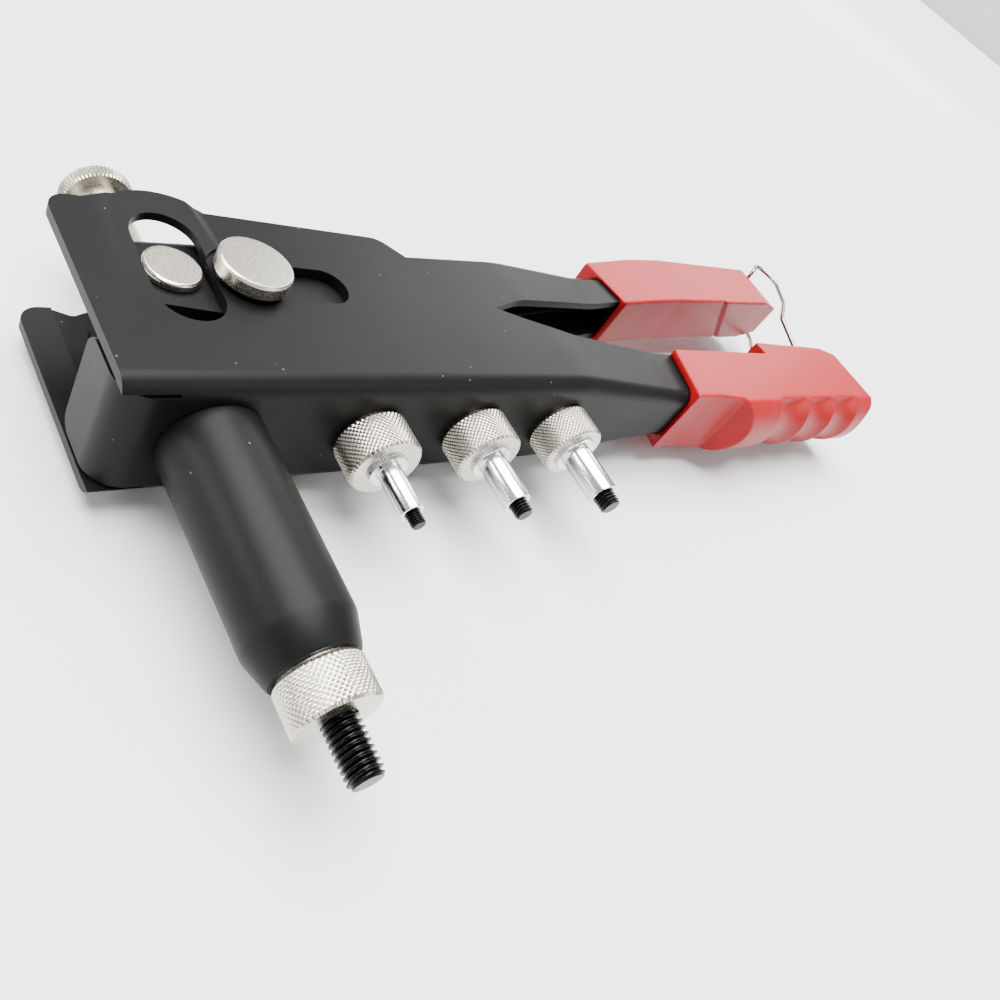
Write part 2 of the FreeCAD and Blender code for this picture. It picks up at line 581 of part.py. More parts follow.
def spare_set(spare, index):
    """A knurled cap screwed into the web, the mandrel through it and its rivet nut."""
    front = "(-spare_length)"
    bore = f"{spare}_thread + thread_fit"
    cap = turned(f"spare_cap_{spare}", [
        (bore, front), ("spare_radius - cap_bevel", front), ("spare_radius", f"{front} + cap_bevel"),
        ("spare_radius", "-cap_gap - cap_bevel"), ("spare_radius - cap_bevel", "-cap_gap"),
        ("spare_neck_radius", "-cap_gap"), ("spare_neck_radius", "-side_play"),
        ("spare_spigot_radius", "-side_play"), ("spare_spigot_radius", "spare_spigot"),
        (bore, "spare_spigot")])
    tip = f"{front} - {spare}_sleeve_length - {spare}_reach"
    bolt = turned(f"spare_mandrel_{spare}", [
        ("0", tip), (f"{spare}_thread - tip_bevel", tip), (f"{spare}_thread", f"{tip} + tip_bevel"),
        (f"{spare}_thread", "spare_spigot"), ("spare_head_radius", "spare_spigot"),
        ("spare_head_radius", "spare_spigot + spare_head"), ("0", "spare_spigot + spare_head")])
    nut_end = f"{front} - {spare}_sleeve_length"
    nut = turned(f"rivet_nut_{spare}", [
        (bore, nut_end), (f"{spare}_sleeve", nut_end), (f"{spare}_sleeve", f"{front} - flange_thickness"),
        (f"{spare}_flange", f"{front} - flange_thickness"), (f"{spare}_flange", front), (bore, front)])
    for piece in (cap, bolt, nut):
        place(piece, x=spare_x(index))
    return [cap, bolt, nut]


# ---------------------------------------------------------------- grips

GROOVES = 3


def finger_grooves():
    """Rings cut round the crown, roofed just inside the flat cheeks."""
    rings = []
    for index in range(GROOVES):
        ring_cut = doc.addObject("Part::Torus", f"finger_groove_{index}")
        ring_cut.setExpression("Radius1", linked("crown_radius + groove_radius - groove_depth"))
        ring_cut.setExpression("Radius2", linked("groove_radius"))
        rings.append(place(ring_cut, f"groove_start + {index} * groove_pitch",
                           "crown_radius - body_grip_crown", rotation=Z_TO_X))
    room = box("groove_room", ("body_grip_finger", "body_grip_end"), ("-cutter_reach", "-groove_roof"),
               ("-cutter_reach", "cutter_reach"))
    return shared("finger_grooves", [joined("groove_rings", rings), room])


def body_grip(envelope):
    """The lower grip: a crowned finger side with grooves and a raised end block."""
    outline = [("body_grip_mouth", "-body_grip_front"), ("body_grip_palm", "-body_grip_front"),
               ("dish_x", "-dish_y"), ("body_grip_finger", "-body_grip_crown"),
               ("toe_x", "-body_grip_crown"),
               ("body_grip_end", "-end_low"), ("body_grip_end", "end_high"),
               ("block_end_x", "block_end_y"), ("body_grip_step", "body_grip_block"),
               ("body_grip_step + body_grip_step_lean", "body_grip_back"),
               ("body_grip_mouth_back", "body_grip_back")]
    side = padded("body_grip_side", outline, "body_grip_half_width")
    round_edges(side, "lever_grip_corner", corner_edge(*outline[7]))
    crown = [
        rod("grip_crown", "crown_radius", "120", "body_grip_mouth - 2",
            "crown_radius - body_grip_crown", rotation=Z_TO_X),
        box("grip_cheeks", ("body_grip_mouth - 2", "body_grip_end + 2"), ("-cheek_low", "blank_depth"),
            ("-cheek_half_width", "cheek_half_width")),
    ]
    crowned = shared("grip_crowned", [side, joined("grip_section", crown)])
    cutters = [envelope, finger_grooves()]
    for side_name, low, high in (("near", "bail_slot_inner", "bail_slot_outer"),
                                 ("far", "-bail_slot_outer", "-bail_slot_inner")):
        cutters.append(box(f"bail_slot_{side_name}", ("bail_slot_start", "body_grip_end + 1"),
                           ("bail_slot_floor", "blank_depth"), (low, high)))
    return less("body_grip", crowned, cutters)


LEVER_GRIP_CORNERS = (
    ("lever_grip_lip_x", "lever_grip_lip_y"), ("lever_grip_waist_x", "lever_grip_waist_y"),
    ("lever_grip_palm_x", "lever_grip_palm_y"), ("lever_grip_heel_x", "lever_grip_heel_y"),
    ("lever_grip_end_back", "lever_grip_top"), ("lever_grip_hump_x", "lever_grip_hump_y"),
    ("lever_grip_rise_x", "lever_grip_rise_y"), ("lever_grip_mouth_x", "lever_grip_mouth_y"))


def lever_grip(envelope):
    side = padded("lever_grip_side", LEVER_GRIP_CORNERS, "lever_grip_half_width")
    round_edges(side, "lever_grip_corner", corner_edge(*LEVER_GRIP_CORNERS[4]))
    return less("lever_grip", side, [envelope])


# ---------------------------------------------------------------- latch bail

BAIL_LEG = (
    ("bail_rise_x", "bail_rise_y", "bail_foot + bail_rise_spread"),
    ("bail_waist_x", "bail_waist_y", "bail_waist_z"), ("bail_kink_x", "bail_kink_y", "bail_kink_z"),
    ("bail_shoulder_x", "bail_shoulder_y", "bail_half_width"),
    ("bail_crest_x", "bail_crest_y", "bail_half_width"))
# bend radii from the foot in the body to the hook over the lever's grip
BAIL_BENDS = [1.2, 12.0, 4.0, 4.0, 7.0, 3.0, 1.6]


def rounded_wire(points, radii):
    """Straight runs joined by tangent arcs, one radius for each inner point."""
    edges = []
    start = points[0]
    for before, corner, after, radius in zip(points, points[1:], points[2:], radii):
        incoming = (corner - before).normalize()
        outgoing = (after - corner).normalize()
        half_turn = incoming.getAngle(outgoing) / 2
        reach = radius * math.tan(half_turn)
        first, last = corner - incoming * reach, corner + outgoing * reach
        inward = (outgoing - incoming).normalize()
        middle = corner + inward * (radius / math.cos(half_turn) - radius)
        edges += [Part.LineSegment(start, first).toShape(), Part.Arc(first, middle, last).toShape()]
        start = last
    edges.append(Part.LineSegment(start, points[-1]).toShape())
    return Part.Wire(edges)


def grip_corner_centre():
    """The centre of the round at the lever grip's back end corner."""
    def point(corner):
        return Vector(size(corner[0]), size(corner[1]), 0)
    front, corner, back = (point(LEVER_GRIP_CORNERS[i]) for i in (3, 4, 5))
    along_end = (front - corner).normalize()
    along_back = (back - corner).normalize()
    half_angle = along_end.getAngle(along_back) / 2
    bisector = (along_end + along_back).normalize()
    return corner + bisector * (size("lever_grip_corner") / math.sin(half_angle))


def wire_bail():
    """The spring wire latch, hooked over the end of the lever grip."""
    angle = math.radians(size("bail_contact_angle"))
    gap = size("lever_grip_corner + wire_radius + bail_clearance")
    hook = grip_corner_centre() + Vector(math.sin(angle), math.cos(angle), 0) * gap
    pivot_x, pivot_y = size("bail_pivot_x"), size("bail_pivot_y")
    foot, half_width = size("bail_foot"), size("bail_half_width")
    stub = size("handle_half_width - side_play")
    leg = [(pivot_x, pivot_y, stub), (pivot_x, pivot_y, foot)]
    leg += [tuple(size(place) for place in places) for places in BAIL_LEG]
    leg.append((hook.x, hook.y, half_width))
    points = [Vector(*p) for p in leg] + [Vector(x, y, -z) for x, y, z in reversed(leg)]
    path = rounded_wire(points, BAIL_BENDS + BAIL_BENDS[::-1])
    section = Part.Wire(Part.Circle(points[0], Vector(0, 0, 1), size("wire_radius")).toShape())
    item = doc.addObject("Part::Feature", "wire_bail")
    item.Shape = path.makePipeShell([section], True, False)
    expected = math.pi * size("wire_radius") ** 2 * path.Length
    print("bail volume over section times length:", round(item.Shape.Volume / expected, 4))
    return item


# ---------------------------------------------------------------- assembly and export

def build():
    channel, body_envelope = body_channel()
    lever, lever_envelope = lever_channel()
    parts = [channel, lever, body_grip(body_envelope), lever_grip(lever_envelope), fulcrum_pin()]
    parts += fulcrum_rings()
    parts += [trunnion("trunnion_near", Y_TO_Z), trunnion("trunnion_far", Y_TO_MINUS_Z)]
    parts += [draw_block(), thrust_washer(), spin_knob(), mandrel_coupler(), mandrel()]
    parts += [nose_barrel(), nose_cap(), wire_bail()]
    for index, spare in enumerate(SPARES):
        parts += spare_set(spare, index)
    return parts


def check(parts):
    doc.recompute()
    for item in doc.Objects:
        if "Invalid" in item.State or "Error" in item.State:
            raise RuntimeError(f"{item.Name} failed: {item.State}")
    for part in parts:
        if part.Shape.isNull() or not part.Shape.isValid():
            raise RuntimeError(f"{part.Name} has no valid shape")
        if len(part.Shape.Solids) != 1:
            raise RuntimeError(f"{part.Name} has {len(part.Shape.Solids)} solids")


def export(parts):
    os.makedirs("parts", exist_ok=True)
    for part in parts:
        part.Label = part.Name
        part.Shape.exportStep(f"parts/{part.Label}.step")
        print(part.Label, round(part.Shape.Volume, 1))


fill_sheet()
all_parts = build()
check(all_parts)
export(all_parts)
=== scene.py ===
import json
import math

import bpy
from bpy.props import FloatProperty, FloatVectorProperty, IntProperty, PointerProperty
from mathutils import Matrix, Quaternion, Vector

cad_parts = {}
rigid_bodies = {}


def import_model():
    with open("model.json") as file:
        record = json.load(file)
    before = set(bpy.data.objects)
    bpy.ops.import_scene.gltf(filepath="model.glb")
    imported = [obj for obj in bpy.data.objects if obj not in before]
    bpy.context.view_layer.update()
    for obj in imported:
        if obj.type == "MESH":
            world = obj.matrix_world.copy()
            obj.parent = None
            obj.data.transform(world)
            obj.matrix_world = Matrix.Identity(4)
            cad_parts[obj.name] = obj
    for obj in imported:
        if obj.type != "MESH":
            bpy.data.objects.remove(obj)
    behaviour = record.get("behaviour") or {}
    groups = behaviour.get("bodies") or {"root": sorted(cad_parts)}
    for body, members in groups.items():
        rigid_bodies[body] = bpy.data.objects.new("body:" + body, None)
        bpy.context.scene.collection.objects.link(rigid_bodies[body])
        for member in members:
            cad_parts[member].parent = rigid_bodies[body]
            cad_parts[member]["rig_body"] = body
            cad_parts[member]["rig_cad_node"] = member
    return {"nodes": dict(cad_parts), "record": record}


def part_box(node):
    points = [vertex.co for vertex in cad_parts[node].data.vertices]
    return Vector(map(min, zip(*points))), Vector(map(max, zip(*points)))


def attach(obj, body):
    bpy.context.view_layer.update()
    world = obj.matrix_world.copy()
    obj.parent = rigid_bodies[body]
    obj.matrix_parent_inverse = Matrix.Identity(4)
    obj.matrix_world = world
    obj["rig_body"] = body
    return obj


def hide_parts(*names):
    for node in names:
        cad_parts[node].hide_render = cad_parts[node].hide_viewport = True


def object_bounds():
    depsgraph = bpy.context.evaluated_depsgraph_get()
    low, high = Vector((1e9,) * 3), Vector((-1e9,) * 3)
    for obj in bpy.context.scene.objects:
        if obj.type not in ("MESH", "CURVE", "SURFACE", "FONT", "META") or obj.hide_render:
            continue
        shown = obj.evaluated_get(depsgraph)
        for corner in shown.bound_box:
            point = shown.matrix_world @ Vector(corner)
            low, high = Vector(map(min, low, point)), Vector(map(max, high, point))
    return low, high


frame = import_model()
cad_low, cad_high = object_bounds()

bl_info = {
    "name": "Rivet Nut Setter",
    "version": (1, 0, 0),
    "blender": (4, 5, 0),
    "location": "View3D > Sidebar > Setter",
    "description": "Builds the looks of a hand rivet nut setter around its fixed frame",
    "category": "Object",
}

MM = 0.001
TURN = 2 * math.pi
BODY_OF = {node: body for body, nodes in frame["record"]["behaviour"]["bodies"].items() for node in nodes}
SLOT_OF = {row["node"]: row["material_slot"] for row in frame["record"]["subparts"]}

# radial faces that each ridge of a knurl or milled edge gets
FACES_A_RIDGE = 6
CAP_RIDGES, SPARE_CAP_RIDGES, KNOB_RIDGES, FLANGE_RIDGES = 46, 48, 60, 56

# the turned pieces, in millimetres
CHAMFER = 0.5
BARREL_BORE, BARREL_SOCKET, BARREL_LIP, BARREL_TAPER = 5.05, 6.0, 7.7, -38.0
BARREL_NECK, BARREL_FLANGE, WEB = 8.0, 9.0, 2.0
BARREL_SOCKET_FROM = 12.0
MANDREL_THREAD, MANDREL_PITCH, MANDREL_RELIEF, MANDREL_HEAD = 3.0, 1.0, 2.6, 4.2
MANDREL_THREAD_END, MANDREL_HEAD_FROM, MANDREL_LEAD = -40.0, 4.0, 0.7
CAP_BORE, CAP_HEIGHT, CAP_SEAT, CAP_SPIGOT, CAP_SPIGOT_LENGTH, CAP_STEP = 3.05, 7.9, 6.3, 5.0, 9.0, 0.45
KNOB_TANG, KNOB_COLLAR, KNOB_BOSS = 3.6, 5.4, 4.5
KNOB_COLLAR_FROM, KNOB_COLLAR_TO, KNOB_DISC = 36.05, 40.0, 60.5
KNOB_RIDGE, KNOB_DISH = 0.3, 0.6
SPARE_CAP_SEAT, SPARE_CAP_SPIGOT, SPARE_HEAD, SPARE_HEAD_FROM = 6.6, 5.0, 4.2, 5.5
SPARE_FIT, SPARE_CAP_REAR, SPARE_CAP_FACE = 0.03, -0.5, -0.05
FLANGE_THICKNESS, FLANGE_RIDGE, FLANGE_EDGE, SLEEVE_EDGE = 0.9, 0.14, 0.12, 0.35

# the palm grip, in millimetres: its end facets, and the slanting groove across its finger side
FACET_POINT, FACET_LEAN = (232.5, 56.0, 8.0), (0.245, -0.03, 1.0)
GROOVE_X, GROOVE_SLANT, GROOVE_WIDTH, GROOVE_DEPTH, GRIP_HALF = 197.3, 0.868, 1.6, 0.4, 10.6
STEP_HEIGHT, STEP_RAMP = 0.5, 0.8
PALM_SIDE_X, PALM_SIDE_Y, PALM_SIDE_SLOPE, PALM_SIDE_BAND = 170.0, 41.0, 0.0743, 1.2

# name, place in metres, width in metres and watts of each softbox
SOFTBOXES = (("sheen_softbox", (2.2, 1.45, 1.4), 1.5, 42.0), ("fill_softbox", (0.45, -0.55, 0.5), 0.4, 3.0),
             ("rim_softbox", (-0.55, 0.3, 0.25), 0.25, 4.0))
OVERHEAD_PLACE, OVERHEAD_STRENGTH, OVERHEAD_SPREAD = (0.05, 0.25, 0.95), 18.0, math.radians(60)
LIGHT_TARGET = Vector((0.09, 0.01, 0.0))
FLOOR_SIZE, WALL_HEIGHT = 200.0, 15.0

# the view, as a turn of the world about one axis and a shift in millimetres
VIEW_TURN, VIEW_SHIFT = (2.3559227, -0.4393818, 0.9185331), (-48.100833, -9.556654, 143.249491)
SENSOR = 36.0
LENS = SENSOR * 864.2014 / 1000

# thread radius, pitch, sleeve radius and flange radius of each spare, in millimetres
SPARES = {"m3": (1.5, 0.5, 2.5, 4.1), "m4": (2.0, 0.7, 3.0, 4.6), "m5": (2.5, 0.8, 3.5, 5.1)}


def linear(code):
    """The linear colour of an sRGB hex value."""
    channels = [int(code[i:i + 2], 16) / 255 for i in (1, 3, 5)]
    return tuple(c / 12.92 if c <= 0.04045 else ((c + 0.055) / 1.055) ** 2.4 for c in channels)


# ---------------------------------------------------------------- sizes and colours to change

class SetterSizes(bpy.types.PropertyGroup):
    knurl_pitch: FloatProperty(name="Knurl spacing", description="Distance between the knurl's rows",
                               default=1.0 * MM, unit="LENGTH", subtype="DISTANCE")
    knurl_depth: FloatProperty(name="Knurl depth", description="Depth of the diamond knurl",
                               default=0.32 * MM, unit="LENGTH", subtype="DISTANCE")
    steel_edge: FloatProperty(name="Steel edge", description="Rounding of the folded steel's cut edges",
                              default=0.3 * MM, unit="LENGTH", subtype="DISTANCE")
    head_edge: FloatProperty(name="Head edge", description="Rounding of the pivot heads' rims",
                             default=0.35 * MM, unit="LENGTH", subtype="DISTANCE")
    vinyl_voxel: FloatProperty(name="Vinyl detail", description="Mesh size of the moulded grips",
                               default=0.45 * MM, unit="LENGTH", subtype="DISTANCE")
    around: IntProperty(name="Thread segments", description="Faces round a thread", default=48)


class SetterColours(bpy.types.PropertyGroup):
    coat: FloatVectorProperty(name="Powder coat", description="Black powder coat on the steel",
                              default=linear("#0B0C0C"), subtype="COLOR", size=3)
    vinyl: FloatVectorProperty(name="Vinyl", description="Red vinyl of the grips",
                               default=linear("#860D12"), subtype="COLOR", size=3)
    nickel: FloatVectorProperty(name="Nickel", description="Satin nickel plate",
                                default=linear("#C9C3B6"), subtype="COLOR", size=3)
    oxide: FloatVectorProperty(name="Black oxide", description="Black oxide on threads and washers",
                               default=linear("#19191A"), subtype="COLOR", size=3)
    aluminium: FloatVectorProperty(name="Aluminium", description="Bright aluminium of the rivet nuts",
                                   default=linear("#E3E4E6"), subtype="COLOR", size=3)
    wire: FloatVectorProperty(name="Wire", description="Spring wire of the latch",
                              default=linear("#8A817B"), subtype="COLOR", size=3)
    steel: FloatVectorProperty(name="Plain steel", description="Turned steel inside the head",
                               default=linear("#8C8C8C"), subtype="COLOR", size=3)
    floor: FloatVectorProperty(name="Floor", description="Pale studio floor",
                               default=linear("#C9CACA"), subtype="COLOR", size=3)


# ---------------------------------------------------------------- materials

def add_node(tree, kind, inputs=None, **settings):
    """A node with its settings, each input given a value or linked from an output."""
    node = tree.nodes.new(kind)
    for name, value in settings.items():
        setattr(node, name, value)
    for name, value in (inputs or {}).items():
        socket = next(i for i in node.inputs if i.enabled and name in (i.name, i.identifier))
        if isinstance(value, bpy.types.NodeSocket):
            tree.links.new(value, socket)
        else:
            socket.default_value = value
    return node


def result(node):
    """The node's output that its settings have turned on."""
    return next(o for o in node.outputs if o.enabled)


def new_material(name):
    material = bpy.data.materials.new(name)
    material.use_nodes = True
    tree = material.node_tree
    tree.nodes.clear()
    place = add_node(tree, "ShaderNodeTexCoord").outputs["Object"]
    return material, tree, place


def close_material(tree, shader):
    add_node(tree, "ShaderNodeOutputMaterial", {"Surface": shader.outputs[0]})


def rgba(colour, share=1.0):
    """The colour as four numbers, made darker or lighter by a share."""
    return tuple(min(1.0, c * share) for c in colour) + (1.0,)


def powder_coat(colour):
    """Polyester powder coat on folded steel: a dull gloss with fine orange peel and a few dust specks."""
    material, tree, place = new_material("powder_coated_steel")
    # the coat's ripple is about 0.6 mm across, its grain about 0.15 mm
    peel = add_node(tree, "ShaderNodeTexNoise", {"Vector": place, "Scale": 1600.0, "Detail": 2.0})
    grain = add_node(tree, "ShaderNodeTexNoise", {"Vector": place, "Scale": 6500.0, "Detail": 1.0})
    cloud = add_node(tree, "ShaderNodeTexNoise", {"Vector": place, "Scale": 60.0, "Detail": 3.0})
    shade = add_node(tree, "ShaderNodeMix", {"Factor": cloud.outputs[0], "A": rgba(colour, 0.86),
                                             "B": rgba(colour, 1.16)}, data_type="RGBA")
    gloss = add_node(tree, "ShaderNodeMapRange", {"Value": cloud.outputs[0], "To Min": 0.38, "To Max": 0.47})
    # settled dust: specks about 0.25 mm across, one every few millimetres
    dust = add_node(tree, "ShaderNodeTexVoronoi", {"Vector": place, "Scale": 260.0})
    speck = add_node(tree, "ShaderNodeMapRange", {
        "Value": dust.outputs["Distance"], "From Min": 0.035, "From Max": 0.05, "To Min": 0.3, "To Max": 0.0})
    coloured = add_node(tree, "ShaderNodeMix", {"Factor": speck.outputs[0], "A": result(shade),
                                                "B": rgba(linear("#8F918F"))}, data_type="RGBA")
    bump = add_node(tree, "ShaderNodeBump", {"Height": peel.outputs[0], "Distance": 0.03 * MM,
                                             "Strength": 0.35})
    fine = add_node(tree, "ShaderNodeBump", {"Height": grain.outputs[0], "Distance": 0.012 * MM,
                                             "Strength": 0.4, "Normal": bump.outputs[0]})
    shader = add_node(tree, "ShaderNodeBsdfPrincipled", {
        "Base Color": result(coloured), "Roughness": gloss.outputs[0], "IOR": 1.5,
        "Specular IOR Level": 0.08, "Normal": fine.outputs[0]})
    close_material(tree, shader)
    return material


def dipped_vinyl(colour):
    """Plasticised PVC moulded over the handles: a soft sheen over a faint ripple."""
    material, tree, place = new_material("moulded_vinyl")
    wave = add_node(tree, "ShaderNodeTexNoise", {"Vector": place, "Scale": 130.0, "Detail": 2.0})
    skin = add_node(tree, "ShaderNodeTexNoise", {"Vector": place, "Scale": 1500.0, "Detail": 2.0})
    shade = add_node(tree, "ShaderNodeMix", {"Factor": wave.outputs[0], "A": rgba(colour, 0.88),
                                             "B": rgba(colour, 1.1)}, data_type="RGBA")
    gloss = add_node(tree, "ShaderNodeMapRange", {"Value": skin.outputs[0], "To Min": 0.33, "To Max": 0.43})
    swell = add_node(tree, "ShaderNodeBump", {"Height": wave.outputs[0], "Distance": 0.25 * MM,
                                              "Strength": 0.3})
    fine = add_node(tree, "ShaderNodeBump", {"Height": skin.outputs[0], "Distance": 0.02 * MM,
                                             "Strength": 0.25, "Normal": swell.outputs[0]})
    shader = add_node(tree, "ShaderNodeBsdfPrincipled", {
        "Base Color": result(shade), "Roughness": gloss.outputs[0], "IOR": 1.5,
        "Specular IOR Level": 0.13, "Subsurface Weight": 0.04, "Subsurface Scale": 1.0 * MM,
        "Coat Weight": 0.03, "Coat Roughness": 0.12, "Normal": fine.outputs[0]})
    shader.inputs["Subsurface Radius"].default_value = (1.0, 0.25, 0.15)
    close_material(tree, shader)
    return material


def metal(name, colour, rough, grit, streak, depth):
    """A bare or plated metal whose grit is in parts per metre, drawn out along Y by streak."""
    material, tree, place = new_material(name)
    drawn = add_node(tree, "ShaderNodeMapping", {"Vector": place, "Scale": (1.0, streak, 1.0)})
    marks = add_node(tree, "ShaderNodeTexNoise", {"Vector": drawn.outputs[0], "Scale": grit, "Detail": 3.0})
    stain = add_node(tree, "ShaderNodeTexNoise", {"Vector": place, "Scale": 220.0, "Detail": 3.0})
    shade = add_node(tree, "ShaderNodeMix", {"Factor": stain.outputs[0], "A": rgba(colour, 0.84),
                                             "B": rgba(colour, 1.08)}, data_type="RGBA")
    gloss = add_node(tree, "ShaderNodeMapRange", {"Value": marks.outputs[0], "To Min": rough * 0.75,
                                                  "To Max": rough * 1.3})
    bump = add_node(tree, "ShaderNodeBump", {"Height": marks.outputs[0], "Distance": depth, "Strength": 0.4})
    shader = add_node(tree, "ShaderNodeBsdfPrincipled", {
        "Base Color": result(shade), "Metallic": 1.0, "Roughness": gloss.outputs[0],
        "Normal": bump.outputs[0]})
    close_material(tree, shader)
    return material


def make_materials(colours):
    return {
        "black_paint": powder_coat(colours.coat),
        "red_vinyl": dipped_vinyl(colours.vinyl),
        # satin nickel over a turned blank: a warm, slightly cloudy shine
        "nickel_plate": metal("satin_nickel", colours.nickel, 0.27, 2600.0, 1.0, 0.012 * MM),
        # magnetite skin with oil: nearly black, with grey glints on the crests
        "black_oxide": metal("black_oxide_steel", colours.oxide, 0.34, 2600.0, 1.0, 0.01 * MM),
        # drawn aluminium: very bright, with faint marks along the sleeve
        "bright_aluminium": metal("drawn_aluminium", colours.aluminium, 0.16, 3200.0, 0.12, 0.006 * MM),
        "spring_steel": metal("spring_wire", colours.wire, 0.24, 3000.0, 0.3, 0.006 * MM),
        "plain_steel": metal("turned_steel", colours.steel, 0.32, 2600.0, 1.0, 0.01 * MM),
    }


def paint(piece, slot_name):
    """Give a piece the finish of one of the record's slots, made once."""
    made = bpy.context.scene.get("setter_made")
    if not made:
        colours = bpy.context.scene.setter_colours
        bpy.context.scene["setter_made"] = {k: m.name for k, m in make_materials(colours).items()}
        made = bpy.context.scene["setter_made"]
    material = bpy.data.materials[made[slot_name]]
    piece.data.materials.clear()
    piece.data.materials.append(material)
    for face in piece.data.polygons:
        face.material_index = 0


# ---------------------------------------------------------------- modelling helpers

def pick(piece):
    bpy.ops.object.select_all(action="DESELECT")
    piece.select_set(True)
    bpy.context.view_layer.objects.active = piece


def apply_modifier(piece, kind, **settings):
    pick(piece)
    modifier = piece.modifiers.new(kind.title(), kind)
    for name, value in settings.items():
        setattr(modifier, name, value)
    bpy.ops.object.modifier_apply(modifier=modifier.name)


def merged(piece, distance=0.002 * MM):
    """Doubles merged and normals turned outward."""
    pick(piece)
    bpy.ops.object.mode_set(mode="EDIT")
    bpy.ops.mesh.select_all(action="SELECT")
    bpy.ops.mesh.remove_doubles(threshold=distance)
    bpy.ops.mesh.normals_make_consistent(inside=False)
    bpy.ops.object.mode_set(mode="OBJECT")


def smooth(piece, degrees=32):
    pick(piece)
    bpy.ops.object.shade_smooth_by_angle(angle=math.radians(degrees))


def stand_for(piece, node):
    """The piece takes the node's place, body and finish."""
    paint(piece, SLOT_OF[node])
    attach(piece, BODY_OF[node])
    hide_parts(node)


def turned(name, profile, segments, x=0.0):
    """A solid turned about the Y axis through x, from (radius, y) points in millimetres."""
    bpy.ops.object.select_all(action="DESELECT")
    bpy.ops.mesh.primitive_plane_add(size=MM)
    piece = bpy.context.object
    piece.name = name
    for index, vertex in enumerate(piece.data.vertices):
        vertex.select = index > 0
    for part in list(piece.data.edges) + list(piece.data.polygons):
        part.select = False
    piece.data.vertices[0].co = (profile[0][0] * MM, profile[0][1] * MM, 0)
    bpy.ops.object.mode_set(mode="EDIT")
    bpy.ops.mesh.select_mode(type="VERT")
    bpy.ops.mesh.delete(type="VERT")
    bpy.ops.mesh.select_all(action="SELECT")
    for (r0, y0), (r1, y1) in zip(profile, profile[1:]):
        bpy.ops.mesh.extrude_region_move(
            TRANSFORM_OT_translate={"value": ((r1 - r0) * MM, (y1 - y0) * MM, 0)})
    bpy.ops.object.mode_set(mode="OBJECT")
    apply_modifier(piece, "SCREW", axis="Y", angle=TURN, steps=segments, render_steps=segments,
                   use_merge_vertices=True, merge_threshold=0.001 * MM)
    merged(piece, 0.001 * MM)
    piece.location.x = x * MM
    pick(piece)
    bpy.ops.object.transform_apply(location=True, rotation=True, scale=True)
    return piece


def rows(start, end, step):
    """Places from start to end, evenly spaced, about a step apart."""
    count = max(1, round(abs(end - start) / step))
    return [start + (end - start) * i / count for i in range(count + 1)]


def reshape(piece, x, low, high, radius, change):
    """Move the vertices on one turned wall to the radius that change gives, in millimetres."""
    for vertex in piece.data.vertices:
        across, along, deep = (c / MM for c in vertex.co)
        across -= x
        here = math.hypot(across, deep)
        if abs(here - radius) < 0.01 and low - 0.001 <= along <= high + 0.001:
            new = change(math.atan2(deep, across) / TURN, along)
            vertex.co.x = (x + across * new / here) * MM
            vertex.co.z = deep * new / here * MM
    piece.data.update()


def ridge(phase):
    """1 on a ridge and 0 in the groove between two, for each whole turn of the phase."""
    return 1 - abs(2 * (phase % 1.0) - 1)


def knurl_diamonds(piece, x, low, high, radius, sizes):
    pitch, depth = sizes.knurl_pitch / MM, sizes.knurl_depth / MM
    count = round(TURN * radius / pitch)

    def pyramids(angle, along):
        up, down = count * angle + along / pitch, count * angle - along / pitch
        return radius - depth * (1 - min(ridge(up), ridge(down)))
    reshape(piece, x, low, high, radius, pyramids)


def cut_thread(piece, x, low, high, radius, pitch, bevel):
    """A right hand metric thread, with its first turn bevelled away at the low end."""
    depth = 0.6134 * pitch

    def helix(angle, along):
        away = abs(2 * ((along / pitch + angle) % 1.0) - 1)
        cut = min(1.0, max(0.0, (away - 0.125) / 0.625))
        return max(radius - depth, min(radius - depth * cut, radius - bevel + (along - low)))
    reshape(piece, x, low, high, radius, helix)


def softened(node, name, width, dissolve=0.8):
    """A copy of a node with merged faces and rounded edges, in the node's place."""
    source = frame["nodes"][node]
    pick(source)
    bpy.ops.object.duplicate()
    piece = bpy.context.object
    piece.name = name
    pick(piece)
    bpy.ops.object.parent_clear(type="CLEAR_KEEP_TRANSFORM")
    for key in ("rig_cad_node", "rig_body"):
        del piece[key]
    merged(piece)
    pick(piece)
    bpy.ops.object.mode_set(mode="EDIT")
    bpy.ops.mesh.select_all(action="SELECT")
    bpy.ops.mesh.dissolve_limited(angle_limit=math.radians(dissolve))
    bpy.ops.object.mode_set(mode="OBJECT")
    apply_modifier(piece, "BEVEL", width=width, segments=2, limit_method="ANGLE",
                   angle_limit=math.radians(38), use_clamp_overlap=True)
    smooth(piece)
    apply_modifier(piece, "WEIGHTED_NORMAL", mode="FACE_AREA", weight=80, keep_sharp=True)
    return piece


# ---------------------------------------------------------------- operators

